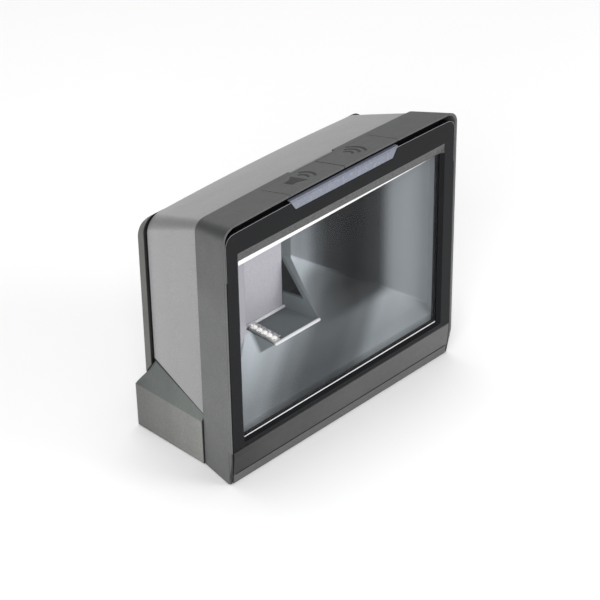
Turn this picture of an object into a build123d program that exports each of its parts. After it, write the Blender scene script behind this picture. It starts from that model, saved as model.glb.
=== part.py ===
from build123d import *
import os

# Presentation barcode scanner that stands on a shop counter.
# +X is to the right of someone facing the window, the window faces -Y, and +Z is up.
# The origin is on the counter, under the middle of the scanner.
# Depths are measured rearward from the front face, and behind() turns them into Y.

# ---------------------------------------------------------------- driving dimensions (mm)
width = 152.0             # across the front face
height = 137.9            # counter to the front edge of the top deck
depth = 68.0              # front face to the back of the base

foot_lift = 0.4           # the rubber feet hold the shells this far off the counter
wall = 2.2                # moulded wall
shut_gap = 0.3            # visible line between two shells
fit_gap = 0.15            # clearance round a part that sits in a pocket

# Front housing: a band round the window that narrows rearward
band_depth = 22.0
deck_setback = 0.4        # front edge of the top deck, behind the front face
band_rear_top = 132.2
band_front_half = width / 2
band_rear_half = 72.0
band_corner = 6.5
band_edge = 1.2           # thickness of its front rim
crown = 1.0               # how much the top edge bows up in the middle

# Window
window_half = 66.0
window_bottom = 22.4
window_top = 117.0
reveal_top = 122.3        # the frame slopes in to the window from here
reveal_depth = 1.6
glass_depth = 2.0         # front of the glass, behind the front face
glass_thickness = 1.8
glass_overlap = 1.3       # glass that is hidden behind the frame, each side
frame_depth = glass_depth + glass_thickness
frame_bottom = 18.6
bevel = 0.4               # bright edge round the frame
rim_gap = 0.2             # between the frame and the rim of the band
chin_bend = 15.0          # below this the chin leans back
chin_lean = 1.4           # how far it has leaned at the counter
chin_corner = 1.8         # extra taper of its two lower corners
lip_height = 5.3          # front lip of the base plate

# Mid housing: the light shell behind the band
mid_rear_depth = 56.0
mid_front_half = 71.2
mid_rear_half = 70.2
mid_front_top = 131.4
mid_rear_top = 119.9
mid_rear_corner = 8.5
mid_rear_bow = 1.6

# Rear cover
cover_front_depth = mid_rear_depth + 0.5
cover_rear_depth = 62.0
cover_half = 71.8
cover_top = 118.4
cover_rear_top = 114.8
cover_corner = 7.5

# Base boot: wraps the foot of the mid housing
boot_foot_half = 72.5
boot_fold_half = 72.7
boot_rim_half = 70.9
fold_height = 24.2        # crease along the side of the boot
boot_ridge_depth = 54.9   # where its upper edge is highest
boot_ridge_height = 42.1
boot_front_height = 27.1
boot_back_depth = 61.5    # where its roof meets the rear cover
boot_back_height = 33.1

# Buttons and status light
key_half = 34.7           # the two keys together reach this far either side
key_gap = 0.5             # slit between the keys
key_rear = 18.5           # the keys flex along this line
key_clearance = 0.3
notch_half = 14.3         # tab of the mid housing that is let into the deck
notch_depth = 20.2
board_top = 122.6         # top of the button board
switch_size = 6.0
switch_height = 3.6
plunger_radius = 1.7
light_top_half = 35.0
light_bottom_half = 31.5
light_bottom = 129.0
light_top = 134.3
frame_top = 133.8
rim_depth = 1.4           # the frame's bright rim stands in front of a dark groove
groove_rear = 2.8
groove_floor = 129.6
groove_wall_top = 134.4
status_board_z = 127.6

# Imager: a funnel behind the glass that narrows to a cover panel
ramp_slope = 1.45         # rise of the ramp for each mm of depth
ramp_foot = 24.0          # height of the ramp at the glass
funnel_front = frame_depth + 1.1
funnel_wall = 1.6
panel_depth = 39.2
panel_right = -2.1
panel_left = -35.0
recess_depth = 19.1       # front edge of the recess in the ramp
recess_floor = 46.6
recess_right = 1.8
recess_left = -27.7
elbow_x = -39.0           # where the recess meets the left wall
elbow_depth = 26.5
lens_x = -18.5
lens_z = 71.0

# Ports, in a row along the back of the main board
board_bottom = 8.0
board_thickness = 1.6
port_width = 15.4
port_height = 12.6
port_length = 15.0
port_mouth_width = 11.8
port_mouth_height = 7.0
host_x = -24.0
aux_x = -4.0
jack_x = 14.0

# Feet, screws and mounting threads
foot_radius = 6.0
foot_x = 54.0
foot_depths = (14.5, 53.0)
insert_x = 37.5           # 75 mm between the threads across the base
insert_depths = (14.0, 54.0)
insert_radius = 2.3
thread_radius = 1.5       # M3
screw_radius = 1.4
head_radius = 2.6


# ---------------------------------------------------------------- helpers
def behind(distance):
    """Y of a point this far behind the front face."""
    return distance - depth / 2


def upright(distance):
    """Plane that faces the user this far behind the front face. A negative extrusion goes rearward."""
    return Plane.XZ.offset(-behind(distance))


def block(across, distances, heights, mode=Mode.ADD):
    """Box between two limits across, behind the front face, and up."""
    centre = (sum(across) / 2, behind(sum(distances) / 2), sum(heights) / 2)
    size = (across[1] - across[0], distances[1] - distances[0], heights[1] - heights[0])
    with Locations(centre):
        Box(*size, mode=mode)


def post(x, z, radius, distances, mode=Mode.ADD):
    """Cylinder that lies front to back."""
    with Locations(Location((x, behind(sum(distances) / 2), z), (90, 0, 0))):
        Cylinder(radius, distances[1] - distances[0], mode=mode)


def pillar(x, distance, radius, heights, mode=Mode.ADD):
    """Upright cylinder."""
    with Locations((x, behind(distance), sum(heights) / 2)):
        Cylinder(radius, heights[1] - heights[0], mode=mode)


def archway(distance, half_width, bottom, top, radius, bow=0.0):
    """Upright outline with round upper corners and a top edge that bows up by bow."""
    with BuildSketch(upright(distance)) as outline:
        with BuildLine():
            Polyline((-half_width, top - bow), (-half_width, bottom),
                     (half_width, bottom), (half_width, top - bow))
            if bow:
                ThreePointArc((-half_width, top - bow), (0, top), (half_width, top - bow))
            else:
                Line((-half_width, top), (half_width, top))
        make_face()
        fillet(outline.vertices().group_by(Axis.Y)[-1], radius)
    return outline.sketch


def side_view(points):
    """Outline in the plane of symmetry, from pairs of depth and height."""
    with BuildSketch(Plane.YZ) as outline:
        with BuildLine():
            Polyline(*[(behind(distance), z) for distance, z in points], close=True)
        make_face()
    return outline.sketch


def plan_view(points, z=0.0, growth=0.0):
    """Outline seen from above, from pairs of X and depth, grown all round by growth."""
    with BuildSketch(Plane.XY.offset(z)) as outline:
        with BuildLine():
            Polyline(*[(x, behind(distance)) for x, distance in points], close=True)
        make_face()
        if growth:
            offset(amount=growth, kind=Kind.INTERSECTION)
    return outline.sketch


def save(piece, name):
    """Name a finished piece and write it out."""
    piece.part.label = name
    export_step(piece.part, f"parts/{name}.step")


def ramp_height(distance):
    """Height of the ramp's upper face at a depth."""
    return ramp_foot + ramp_slope * (distance - glass_depth - 1.5)


def band_inside(distance, bottom, clearance=0.0):
    """Half width, bottom and top of the space inside the band at a depth."""
    share = distance / band_depth
    half = (1 - share) * (band_front_half - band_edge) + share * (band_rear_half - wall)
    top = (1 - share) * (height - band_edge) + share * (band_rear_top - wall)
    return half - clearance, bottom, top - clearance


def light_half(z, clearance=0.0):
    """Half width of the status light at a height: it widens upward."""
    slope = (light_top_half - light_bottom_half) / (light_top - light_bottom)
    return light_bottom_half + slope * (z - light_bottom) + clearance


def light_outline(distance, bottom, top, clearance=0.0):
    """Front outline of the status light between two heights."""
    low = light_half(bottom, clearance)
    high = light_half(top, clearance)
    with BuildSketch(upright(distance)) as outline:
        with BuildLine():
            Polyline((-low, bottom), (-high, top), (high, top), (low, bottom), close=True)
        make_face()
    return outline.sketch


def opening(distance, half_width, bottom, top, radius):
    """Upright rectangle with four round corners."""
    with BuildSketch(upright(distance)) as outline:
        with Locations((0, (bottom + top) / 2)):
            RectangleRounded(2 * half_width, top - bottom, radius)
    return outline.sketch


os.makedirs("parts", exist_ok=True)

# ---------------------------------------------------------------- shared envelopes
# Outer envelope of the band. The button caps are cut from it too, so they lie flush.
with BuildPart() as band:
    loft([
        archway(0, band_front_half, foot_lift, height, band_corner, crown),
        archway(band_depth, band_rear_half, foot_lift, band_rear_top, band_corner - 1, crown),
    ])

# Everything that the boot hides of the shells above it
boot_profile = [
    (band_depth - 2, foot_lift - 5),
    (band_depth - 2, boot_front_height + shut_gap),
    (band_depth + shut_gap, boot_front_height + shut_gap),
    (boot_ridge_depth, boot_ridge_height + shut_gap),
    (boot_back_depth, boot_back_height + shut_gap),
    (depth + 4, fold_height - 6),
    (depth + 4, foot_lift - 5),
]

# ---------------------------------------------------------------- front housing
lip_lean = chin_lean * (chin_bend - lip_height) / (chin_bend - foot_lift)
flange_front = frame_depth + 0.2
flange_rear = flange_front + wall
funnel_half = window_half + 0.5
nose_half = funnel_half + funnel_wall + 0.3
nose_bottom = 19.8
nose_top = 119.9
fix_x = 50.0
fix_low = 16.4
fix_high = 123.4

# Wedges that taper the two lower corners of the chin
with BuildPart() as corner_taper:
    for side in (-1, 1):
        reach = chin_lean + chin_corner
        loft([
            plan_view([(side * (band_front_half - 0.05), -0.05), (side * (band_front_half + 1), -0.05),
                       (side * (band_front_half + 1), -1)], chin_bend),
            plan_view([(side * (band_front_half - reach), 0), (side * (band_front_half + 4), 4 + reach),
                       (side * (band_front_half + 4), -4)], foot_lift - 0.1),
        ], ruled=True)

# Space inside the band
with BuildPart() as band_void:
    loft([
        archway(0, *band_inside(0, foot_lift - 1), band_corner - 1, crown),
        archway(band_depth, *band_inside(band_depth, foot_lift - 1), band_corner - 2, crown),
    ])

with BuildPart() as front_housing:
    add(band.part)
    add(band_void.part, mode=Mode.SUBTRACT)
    # chin below the window frame
    extrude(side_view([
        (0, frame_bottom - shut_gap),
        (0, chin_bend),
        (lip_lean, lip_height + shut_gap),
        (flange_rear, lip_height + shut_gap),
        (flange_rear, frame_bottom - shut_gap),
    ]), amount=band_front_half - 2, both=True)
    # flange that the glass, the frame and the funnel are clamped to
    extrude(archway(flange_front, band_front_half - 2.4, lip_height + shut_gap, frame_top - 3, 8),
            amount=-wall)
    block((-nose_half, nose_half), (flange_front - 1, flange_rear + 1), (nose_bottom, nose_top),
          Mode.SUBTRACT)
    for x in (-fix_x, fix_x):
        for z in (fix_low, fix_high):
            post(x, z, screw_radius, (flange_front - 0.2, flange_rear + 1), Mode.SUBTRACT)
    # the chin leans back towards the counter
    extrude(side_view([
        (-3, chin_bend),
        (0, chin_bend),
        (chin_lean, foot_lift),
        (chin_lean, foot_lift - 3),
        (-3, foot_lift - 3),
    ]), amount=width, both=True, mode=Mode.SUBTRACT)
    add(corner_taper.part, mode=Mode.SUBTRACT)
    # the deck's front edge is set back a little, and runs forward again into the two corners
    setback_end = band_front_half - band_corner
    extrude(plan_view([(-band_front_half + 2, -1), (-setback_end, deck_setback), (setback_end, deck_setback),
                       (band_front_half - 2, -1)], groove_floor), amount=10, mode=Mode.SUBTRACT)
    # room for the status light under the deck
    block((-light_top_half - 1, light_top_half + 1), (3, 9), (status_board_z - 0.4, 133), Mode.SUBTRACT)
    # opening for the two keys, and notch for the tab of the mid housing
    block((-key_half - key_clearance, key_half + key_clearance), (-1, key_rear + 0.1), (125, height + 3),
          Mode.SUBTRACT)
    block((-notch_half, notch_half), (notch_depth, band_depth + 1), (120, height), Mode.SUBTRACT)
    # bosses for the base screws
    for x in (-62, 62):
        pillar(x, 9.6, 3.6, (3.4, 15))
        pillar(x, 9.6, screw_radius, (3, 13), Mode.SUBTRACT)
save(front_housing, "front_housing")

# ---------------------------------------------------------------- window frame, glass and gasket
with BuildPart() as window_frame:
    front_half = band_inside(0, 0)[0] - rim_gap
    rear_half = band_inside(frame_depth, 0)[0] - rim_gap
    frame_corner = band_corner - 1.4
    loft([
        archway(0, front_half - bevel, frame_bottom + bevel, frame_top - bevel, frame_corner - bevel, crown),
        archway(bevel, front_half, frame_bottom, frame_top, frame_corner, crown),
        archway(frame_depth, rear_half, frame_bottom, frame_top - 0.5, frame_corner, crown),
    ], ruled=True)
    # groove behind the rim, with a back wall that reaches up under the deck
    block((-65.7, 65.7), (groove_rear, frame_depth), (groove_floor, groove_wall_top))
    block((-65.7, 65.7), (rim_depth, groove_rear), (groove_floor, height), Mode.SUBTRACT)
    # opening with sloping reveals, the deepest one along the top
    loft([
        opening(0, window_half + 1.8, window_bottom - 1.3, reveal_top, 1.2),
        opening(reveal_depth, window_half, window_bottom, window_top, 0.8),
    ], mode=Mode.SUBTRACT)
    extrude(opening(reveal_depth, window_half, window_bottom, window_top, 0.8), amount=-4, mode=Mode.SUBTRACT)
    # seat for the glass
    seat = glass_overlap + fit_gap
    block((-window_half - seat, window_half + seat), (glass_depth, 6),
          (window_bottom - seat, window_top + seat), Mode.SUBTRACT)
    # pocket for the status light
    extrude(light_outline(-1, light_bottom - fit_gap, height, 0.2), amount=-1 - groove_rear,
            mode=Mode.SUBTRACT)
    block((-29.8, 29.8), (0.5, 6), (light_bottom + 0.2, light_bottom + 2.8), Mode.SUBTRACT)
save(window_frame, "window_frame")

with BuildPart() as scan_window:
    rim = window_half + glass_overlap
    block((-rim, rim), (glass_depth, glass_depth + glass_thickness),
          (window_bottom - glass_overlap, window_top + glass_overlap))
    fillet(scan_window.edges().filter_by(Axis.Y), 1.0)
save(scan_window, "scan_window")

with BuildPart() as window_gasket:
    gasket = (frame_depth, funnel_front)
    block((-rim, rim), gasket, (window_bottom - glass_overlap, window_top + glass_overlap))
    block((-window_half - 0.3, window_half + 0.3), gasket, (window_bottom - 0.3, window_top + 0.3),
          Mode.SUBTRACT)
save(window_gasket, "window_gasket")

# ---------------------------------------------------------------- mid housing
with BuildPart() as mid_housing:
    loft([
        archway(band_depth + shut_gap, mid_front_half, 5, mid_front_top, band_corner - 1, crown),
        archway(mid_rear_depth, mid_rear_half, 5, mid_rear_top, mid_rear_corner, mid_rear_bow),
    ])
    loft([
        archway(band_depth + shut_gap, mid_front_half - wall, 4, mid_front_top - wall,
                band_corner - 2, crown),
        archway(mid_rear_depth, mid_rear_half - wall, 4, mid_rear_top - wall,
                mid_rear_corner - 2, mid_rear_bow),
    ], mode=Mode.SUBTRACT)
    # tongue that slides into the band
    tongue_half = band_rear_half - wall - 0.3
    tongue_top = band_rear_top - wall - 0.4
    extrude(archway(band_depth - 3, tongue_half, 32, tongue_top, band_corner - 3.2, crown), amount=-5)
    extrude(archway(band_depth - 3, tongue_half - 2.2, 31, tongue_top - 2.2, band_corner - 5, crown),
            amount=-5,
            mode=Mode.SUBTRACT)
    # tab that fills the notch in the deck
    with BuildSketch(Plane.YZ.offset(-notch_half + fit_gap)):
        with BuildLine():
            tab_front = notch_depth + fit_gap
            tab_slope = (mid_front_top - mid_rear_top) / (mid_rear_depth - band_depth)
            tab_top = mid_front_top + tab_slope * (band_depth - tab_front)
            Polyline((behind(tab_front), tab_top), (behind(band_depth + 1.5), mid_front_top - 0.5),
                     (behind(band_depth + 1.5), mid_front_top - wall), (behind(tab_front), tab_top - wall),
                     close=True)
        make_face()
    extrude(amount=2 * (notch_half - fit_gap))
    # bosses for the screws of the rear cover
    for x in (-62, 62):
        for z in (58, 100):
            post(x, z, 3.6, (44, mid_rear_depth))
            outer_side = (x, 69) if x > 0 else (-69, x)
            block(outer_side, (44, mid_rear_depth), (z - 1, z + 1))
            post(x, z, screw_radius, (46, mid_rear_depth + 1), Mode.SUBTRACT)
    extrude(side_view(boot_profile), amount=width, both=True, mode=Mode.SUBTRACT)
save(mid_housing, "mid_housing")

# ---------------------------------------------------------------- rear cover
speaker_x = 38.0
speaker_z = 76.0
with BuildPart() as rear_cover:
    loft([
        archway(cover_front_depth, cover_half, 5, cover_top, cover_corner),
        archway(cover_rear_depth - 1, cover_half - 0.3, 5, cover_rear_top, cover_corner),
        archway(cover_rear_depth, cover_half - 1.3, 5, cover_rear_top - 1, cover_corner - 1),
    ], ruled=True)
    inset = wall + 0.4
    extrude(archway(cover_front_depth, cover_half - inset, 4, cover_rear_top - inset, cover_corner - 2),
            amount=-(cover_rear_depth - cover_front_depth - wall), mode=Mode.SUBTRACT)
    extrude(side_view(boot_profile), amount=width, both=True, mode=Mode.SUBTRACT)
    # screw seats
    for x in (-62, 62):
        for z in (58, 100):
            post(x, z, 4.4, (cover_front_depth, cover_rear_depth))
            post(x, z, screw_radius + 0.3, (cover_front_depth - 1, cover_rear_depth + 1), Mode.SUBTRACT)
            post(x, z, head_radius + 0.3, (cover_rear_depth - 2.4, cover_rear_depth + 1), Mode.SUBTRACT)
    # slots in front of the speaker
    for row in range(-3, 4):
        half = (12.5 ** 2 - (row * 3.4) ** 2) ** 0.5
        block((speaker_x - half, speaker_x + half), (cover_front_depth, cover_rear_depth + 1),
              (speaker_z + row * 3.4 - 0.7, speaker_z + row * 3.4 + 0.7), Mode.SUBTRACT)
save(rear_cover, "rear_cover")


# ---------------------------------------------------------------- base boot
def boot_section(distance, foot_half, fold_half, fold, rim_half, rim):
    """Cross-section of the boot: upright to the fold, then leaning in to the rim."""
    with BuildSketch(upright(distance)) as outline:
        with BuildLine():
            Polyline((-foot_half, foot_lift), (-fold_half, fold), (-rim_half, rim),
                     (rim_half, rim), (fold_half, fold), (foot_half, foot_lift), close=True)
        make_face()
    return outline.sketch


with BuildPart() as base_boot:
    loft([
        boot_section(band_depth + shut_gap, boot_foot_half, boot_fold_half, fold_height,
                     boot_rim_half, boot_front_height),
        boot_section(boot_ridge_depth, boot_foot_half, boot_fold_half, fold_height,
                     boot_rim_half, boot_ridge_height),
        boot_section(boot_back_depth, boot_foot_half, boot_fold_half, fold_height,
                     boot_rim_half - 0.4, boot_back_height),
        boot_section(depth, boot_foot_half, boot_fold_half, fold_height, boot_rim_half, fold_height + 1),
    ], ruled=True)
    inner_foot = boot_foot_half - wall
    inner_fold = boot_fold_half - wall
    inner_rim = boot_rim_half - wall
    loft([
        boot_section(band_depth + shut_gap, inner_foot, inner_fold, fold_height, inner_rim,
                     boot_front_height + 5),
        boot_section(boot_ridge_depth, inner_foot, inner_fold, fold_height, inner_rim, boot_ridge_height + 5),
        boot_section(boot_back_depth - 3, inner_foot, inner_fold, fold_height, inner_rim, boot_back_height + 7),
        boot_section(depth - wall, inner_foot, inner_fold, fold_height - 4, inner_rim, fold_height - wall),
    ], ruled=True, mode=Mode.SUBTRACT)
    # the inside is open to the base plate
    block((-inner_foot, inner_foot), (band_depth + shut_gap - 1, depth - wall), (foot_lift - 1, 6),
          Mode.SUBTRACT)
    # mouths of the ports, and the hole for the power plug
    for x in (host_x, aux_x):
        block((x - port_width / 2 - 0.3, x + port_width / 2 + 0.3), (depth - 4, depth + 1),
              (board_bottom + board_thickness - 0.3, board_bottom + board_thickness + port_height + 0.3),
              Mode.SUBTRACT)
    jack_z = board_bottom + board_thickness + 5.5
    post(jack_x, jack_z, 5.3, (depth - 4, depth + 1), Mode.SUBTRACT)
    # bosses for the base screws
    for x in (-62, 62):
        pillar(x, 60, 3.6, (3.4, 18))
        outer_side = (x, 71) if x > 0 else (-71, x)
        block(outer_side, (59, 61), (3.4, 18))
        pillar(x, 60, screw_radius, (3, 15), Mode.SUBTRACT)
save(base_boot, "base_boot")

# ---------------------------------------------------------------- base plate, feet, threads, label
plate_top = 3.2
plate_half = 69.5
with BuildPart() as base_plate:
    rear_edge = depth - wall - 0.3
    extrude(plan_view([(-73.4, 4.7), (73.4, 4.7), (plate_half, band_depth), (plate_half, rear_edge),
                       (-plate_half, rear_edge), (-plate_half, band_depth)], foot_lift),
            amount=plate_top - foot_lift)
    extrude(side_view([
        (chin_lean + 0.1, foot_lift), (lip_lean + 0.1, lip_height), (4.8, lip_height), (4.8, foot_lift),
    ]), amount=73.4, both=True)
    add(corner_taper.part, mode=Mode.SUBTRACT)
    for x in (-foot_x, foot_x):
        for distance in foot_depths:
            pillar(x, distance, foot_radius + fit_gap, (foot_lift, foot_lift + 0.8), Mode.SUBTRACT)
    for x in (-insert_x, insert_x):
        for distance in insert_depths:
            pillar(x, distance, 4.2, (plate_top, 6.4))
            pillar(x, distance, insert_radius, (foot_lift, 6.4), Mode.SUBTRACT)
    # screw seats, and pillars for the main board
    for x in (-62, 62):
        for distance in (9.6, 60):
            pillar(x, distance, screw_radius + 0.3, (foot_lift, plate_top), Mode.SUBTRACT)
            pillar(x, distance, head_radius + 0.3, (foot_lift, foot_lift + 1.2), Mode.SUBTRACT)
    for x in (-50, 50):
        for distance in (32, 62):
            pillar(x, distance, 3, (plate_top, board_bottom))
            pillar(x, distance, screw_radius - 0.4, (4, board_bottom), Mode.SUBTRACT)
    # shallow recess for the label
    block((-26, 26), (24, 44), (foot_lift, foot_lift + 0.3), Mode.SUBTRACT)
save(base_plate, "base_plate")

with BuildPart() as rating_label:
    block((-25.8, 25.8), (24.2, 43.8), (foot_lift + 0.1, foot_lift + 0.3))
save(rating_label, "rating_label")

with BuildPart() as rubber_feet:
    for x in (-foot_x, foot_x):
        for distance in foot_depths:
            pillar(x, distance, foot_radius, (0, foot_lift + 0.8))
    chamfer(rubber_feet.edges().group_by(Axis.Z)[0], 0.3)
save(rubber_feet, "rubber_feet")

with BuildPart() as threaded_inserts:
    for x in (-insert_x, insert_x):
        for distance in insert_depths:
            pillar(x, distance, insert_radius, (foot_lift, 6.4))
            pillar(x, distance, thread_radius, (foot_lift, 6.4), Mode.SUBTRACT)
save(threaded_inserts, "threaded_inserts")


# ---------------------------------------------------------------- screws
def screw_up(x, distance, head_bottom, head, length, radius):
    """Screw driven upward, with its head at the bottom."""
    pillar(x, distance, head_radius, (head_bottom, head_bottom + head))
    pillar(x, distance, radius, (head_bottom + head, head_bottom + head + length))
    with Locations((x, behind(distance), head_bottom)):
        Box(3.2, 0.7, 1.2, mode=Mode.SUBTRACT)
        Box(0.7, 3.2, 1.2, mode=Mode.SUBTRACT)


with BuildPart() as base_screws:
    for x in (-62, 62):
        for distance in (9.6, 60):
            screw_up(x, distance, foot_lift + 0.1, 1.1, 9, screw_radius - 0.05)
save(base_screws, "base_screws")

with BuildPart() as rear_screws:
    for x in (-62, 62):
        for z in (58, 100):
            head = cover_rear_depth - 2.4
            post(x, z, head_radius, (head, head + 1.9))
            post(x, z, screw_radius - 0.05, (head - 12, head))
            with Locations((x, behind(head + 1.9), z)):
                Box(3.2, 1.4, 0.7, mode=Mode.SUBTRACT)
                Box(0.7, 1.4, 3.2, mode=Mode.SUBTRACT)
save(rear_screws, "rear_screws")

# ---------------------------------------------------------------- optics funnel
nose_rear = flange_rear + 1.5
funnel_plan = [
    (funnel_half, funnel_front - 1), (funnel_half, nose_rear), (panel_right, panel_depth),
    (panel_left - 0.5, panel_depth), (elbow_x, elbow_depth), (-funnel_half, nose_rear),
    (-funnel_half, funnel_front - 1),
]
recess_plan = [
    (recess_right, recess_depth), (panel_right, panel_depth), (panel_left - 0.5, panel_depth),
    (elbow_x, elbow_depth), (recess_left, recess_depth),
]
roof_front = window_top + 0.4
roof_bend = 12.0          # the roof is level up to here
roof_rear = 98.0
panel_bottom = recess_floor + 0.4
panel_top = 96.5
step_top = window_bottom + 0.6
back = panel_depth + funnel_wall

# The clear space inside: above the ramp, under the roof
with BuildPart() as funnel_space:
    extrude(plan_view(funnel_plan), amount=height)
    extrude(side_view([
        (0, ramp_height(funnel_front)), (funnel_front, ramp_height(funnel_front)),
        (back, ramp_height(back)), (back, roof_rear), (roof_bend, roof_front), (0, roof_front),
    ]), amount=width, both=True, mode=Mode.INTERSECT)

# The clear space of the recess in the ramp, in front of the panel
with BuildPart() as recess_space:
    extrude(plan_view(recess_plan, recess_floor), amount=40)

with BuildPart() as optics_baffle:
    # a skin of even thickness round the funnel
    extrude(plan_view(funnel_plan, growth=funnel_wall), amount=height)
    extrude(side_view([
        (funnel_front, step_top - funnel_wall), (funnel_front + funnel_wall, step_top - funnel_wall),
        (back, ramp_height(back) - 2.4), (back, roof_rear + funnel_wall),
        (roof_bend, roof_front + funnel_wall), (funnel_front, roof_front + funnel_wall),
    ]), amount=width, both=True, mode=Mode.INTERSECT)
    # tub round the recess
    extrude(plan_view(recess_plan, recess_floor - funnel_wall, funnel_wall), amount=10)
    # flange with four screw ears, clamped to the front housing
    flange = (flange_rear + 0.1, nose_rear)
    block((-nose_half - 1, nose_half + 1), flange, (nose_bottom - 1.4, nose_top + 1))
    for x in (-fix_x, fix_x):
        block((x - 4, x + 4), flange, (fix_low - 3, nose_bottom))
        block((x - 4, x + 4), flange, (nose_top, fix_high + 3))
        for z in (fix_low, fix_high):
            post(x, z, screw_radius + 0.3, (flange[0] - 1, flange[1] + 1), Mode.SUBTRACT)
    add(funnel_space.part, mode=Mode.SUBTRACT)
    add(recess_space.part, mode=Mode.SUBTRACT)
    # seat of the cover panel, open to the rear
    block((panel_left - fit_gap, panel_right - 0.6 + fit_gap), (panel_depth - 1, back + 1),
          (panel_bottom - fit_gap, panel_top + fit_gap), Mode.SUBTRACT)
save(optics_baffle, "optics_baffle")

with BuildPart() as baffle_screws:
    for x in (-fix_x, fix_x):
        for z in (fix_low, fix_high):
            head = flange_rear + 1.5
            post(x, z, head_radius, (head, head + 1.8))
            post(x, z, screw_radius - 0.05, (flange_front, head))
            with Locations((x, behind(head + 1.8), z)):
                Box(3.2, 1.4, 0.7, mode=Mode.SUBTRACT)
                Box(0.7, 1.4, 3.2, mode=Mode.SUBTRACT)
save(baffle_screws, "baffle_screws")

# ---------------------------------------------------------------- imager
with BuildPart() as imager_cover:
    block((panel_left, panel_right - 0.6), (panel_depth, panel_depth + 1.5), (panel_bottom, panel_top))
save(imager_cover, "imager_cover")

holder_depth = 45.0
camera_board_front = 51.0
with BuildPart() as imager_bracket:
    block((panel_left - 1.5, panel_right + 1.5), (panel_depth + 1.9, panel_depth + 3.7),
          (panel_bottom, panel_top + 2))
    post(lens_x, lens_z, 6.3, (panel_depth, panel_depth + 5), Mode.SUBTRACT)
    for x in (panel_left + 1, panel_right - 1):
        for z in (panel_bottom + 4, panel_top - 4):
            post(x, z, 2.4, (panel_depth + 3.7, camera_board_front))
            post(x, z, 0.9, (panel_depth + 6, camera_board_front), Mode.SUBTRACT)
save(imager_bracket, "imager_bracket")

with BuildPart() as camera_board:
    block((panel_left - 1.5, panel_right + 1.5), (camera_board_front, camera_board_front + board_thickness),
          (panel_bottom, panel_top + 2))
    for x in (panel_left + 1, panel_right - 1):
        for z in (panel_bottom + 4, panel_top - 4):
            post(x, z, 1.0, (camera_board_front - 1, camera_board_front + 3), Mode.SUBTRACT)
save(camera_board, "camera_board")

with BuildPart() as image_sensor:
    block((lens_x - 4.5, lens_x + 4.5), (camera_board_front - 1.1, camera_board_front),
          (lens_z - 3.6, lens_z + 3.6))
save(image_sensor, "image_sensor")

with BuildPart() as lens_holder:
    block((lens_x - 7, lens_x + 7), (holder_depth, camera_board_front), (lens_z - 7, lens_z + 7))
    fillet(lens_holder.edges().filter_by(Axis.Y), 1.2)
    post(lens_x, lens_z, 4.6, (holder_depth - 1, camera_board_front - 2.4), Mode.SUBTRACT)
    block((lens_x - 4.8, lens_x + 4.8), (camera_board_front - 2.5, camera_board_front + 1),
          (lens_z - 3.9, lens_z + 3.9), Mode.SUBTRACT)
save(lens_holder, "lens_holder")

with BuildPart() as lens_barrel:
    post(lens_x, lens_z, 4.6, (panel_depth + 3.2, camera_board_front - 3))
    post(lens_x, lens_z, 5.6, (panel_depth + 2.2, panel_depth + 3.7))
    post(lens_x, lens_z, 3.4, (panel_depth, camera_board_front), Mode.SUBTRACT)
save(lens_barrel, "lens_barrel")

with BuildPart() as lens_elements:
    for front, thickness in ((panel_depth + 3.2, 1.6), (panel_depth + 6.5, 1.2)):
        post(lens_x, lens_z, 3.35, (front, front + thickness))
    fillet(lens_elements.edges().group_by(Axis.Y)[0], 0.7)
save(lens_elements, "lens_elements")

# Row of illumination lamps along the left side of the recess
lamp_x = -25.2
lamp_pitch = 3.3
with BuildPart() as lamp_board:
    block((lamp_x - 2, lamp_x + 2), (20.2, 37.2), (recess_floor, recess_floor + 0.8))
save(lamp_board, "lamp_board")

with BuildPart() as illumination_lamps:
    for step in range(5):
        at = (lamp_x, behind(22.1 + lamp_pitch * step), recess_floor + 0.8)
        with Locations(at):
            Cylinder(1.4, 0.8, align=(Align.CENTER, Align.CENTER, Align.MIN))
        with Locations((at[0], at[1], at[2] + 0.8)):
            Sphere(1.2, arc_size1=0)
save(illumination_lamps, "illumination_lamps")

# Light bar along the top of the glass, tapered towards its right end
with BuildPart() as light_bar:
    with BuildSketch(upright(5.6)):
        with BuildLine():
            Polyline((-64, 111.2), (-64, 115.8), (61, 115.8), (61, 113.4), close=True)
        make_face()
    extrude(amount=-2.6)
save(light_bar, "light_bar")

with BuildPart() as light_bar_board:
    block((-62, 58), (8.9, 9.9), (112.2, 115.8))
save(light_bar_board, "light_bar_board")

with BuildPart() as light_bar_lamps:
    for step in range(10):
        x = -56 + 12 * step
        block((x - 1.5, x + 1.5), (8.2, 8.9), (113.5, 115.5))
save(light_bar_lamps, "light_bar_lamps")

# ---------------------------------------------------------------- keys and their switches
plunger_top = 127.2
switch_depth = 11.6
key_reach = {"volume": (-key_half, -key_gap / 2), "function": (key_gap / 2, key_half)}

for name, reach in key_reach.items():
    centre = sum(reach) / 2
    with BuildPart() as key:
        # a plate cut from the deck's own skin, so it lies flush
        block(reach, (deck_setback, key_rear), (120, height + 2))
        add(band.part, mode=Mode.INTERSECT)
        add(band_void.part, mode=Mode.SUBTRACT)
        # post that bears on the switch, and ribs that stiffen the plate
        pillar(centre, switch_depth, 2.4, (plunger_top + 0.2, 133.8))
        block((centre - 12, centre + 12), (switch_depth - 0.6, switch_depth + 0.6), (131, 133.8))
    save(key, f"{name}_key")

    with BuildPart() as plunger:
        pillar(centre, switch_depth, plunger_radius, (board_top + 1.4, plunger_top))
    save(plunger, f"{name}_plunger")

    with BuildPart() as switch:
        block((centre - switch_size / 2, centre + switch_size / 2),
              (switch_depth - switch_size / 2, switch_depth + switch_size / 2),
              (board_top, board_top + switch_height))
        pillar(centre, switch_depth, plunger_radius + 0.2, (board_top + 0.6, board_top + 5), Mode.SUBTRACT)
    save(switch, f"{name}_switch")

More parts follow.
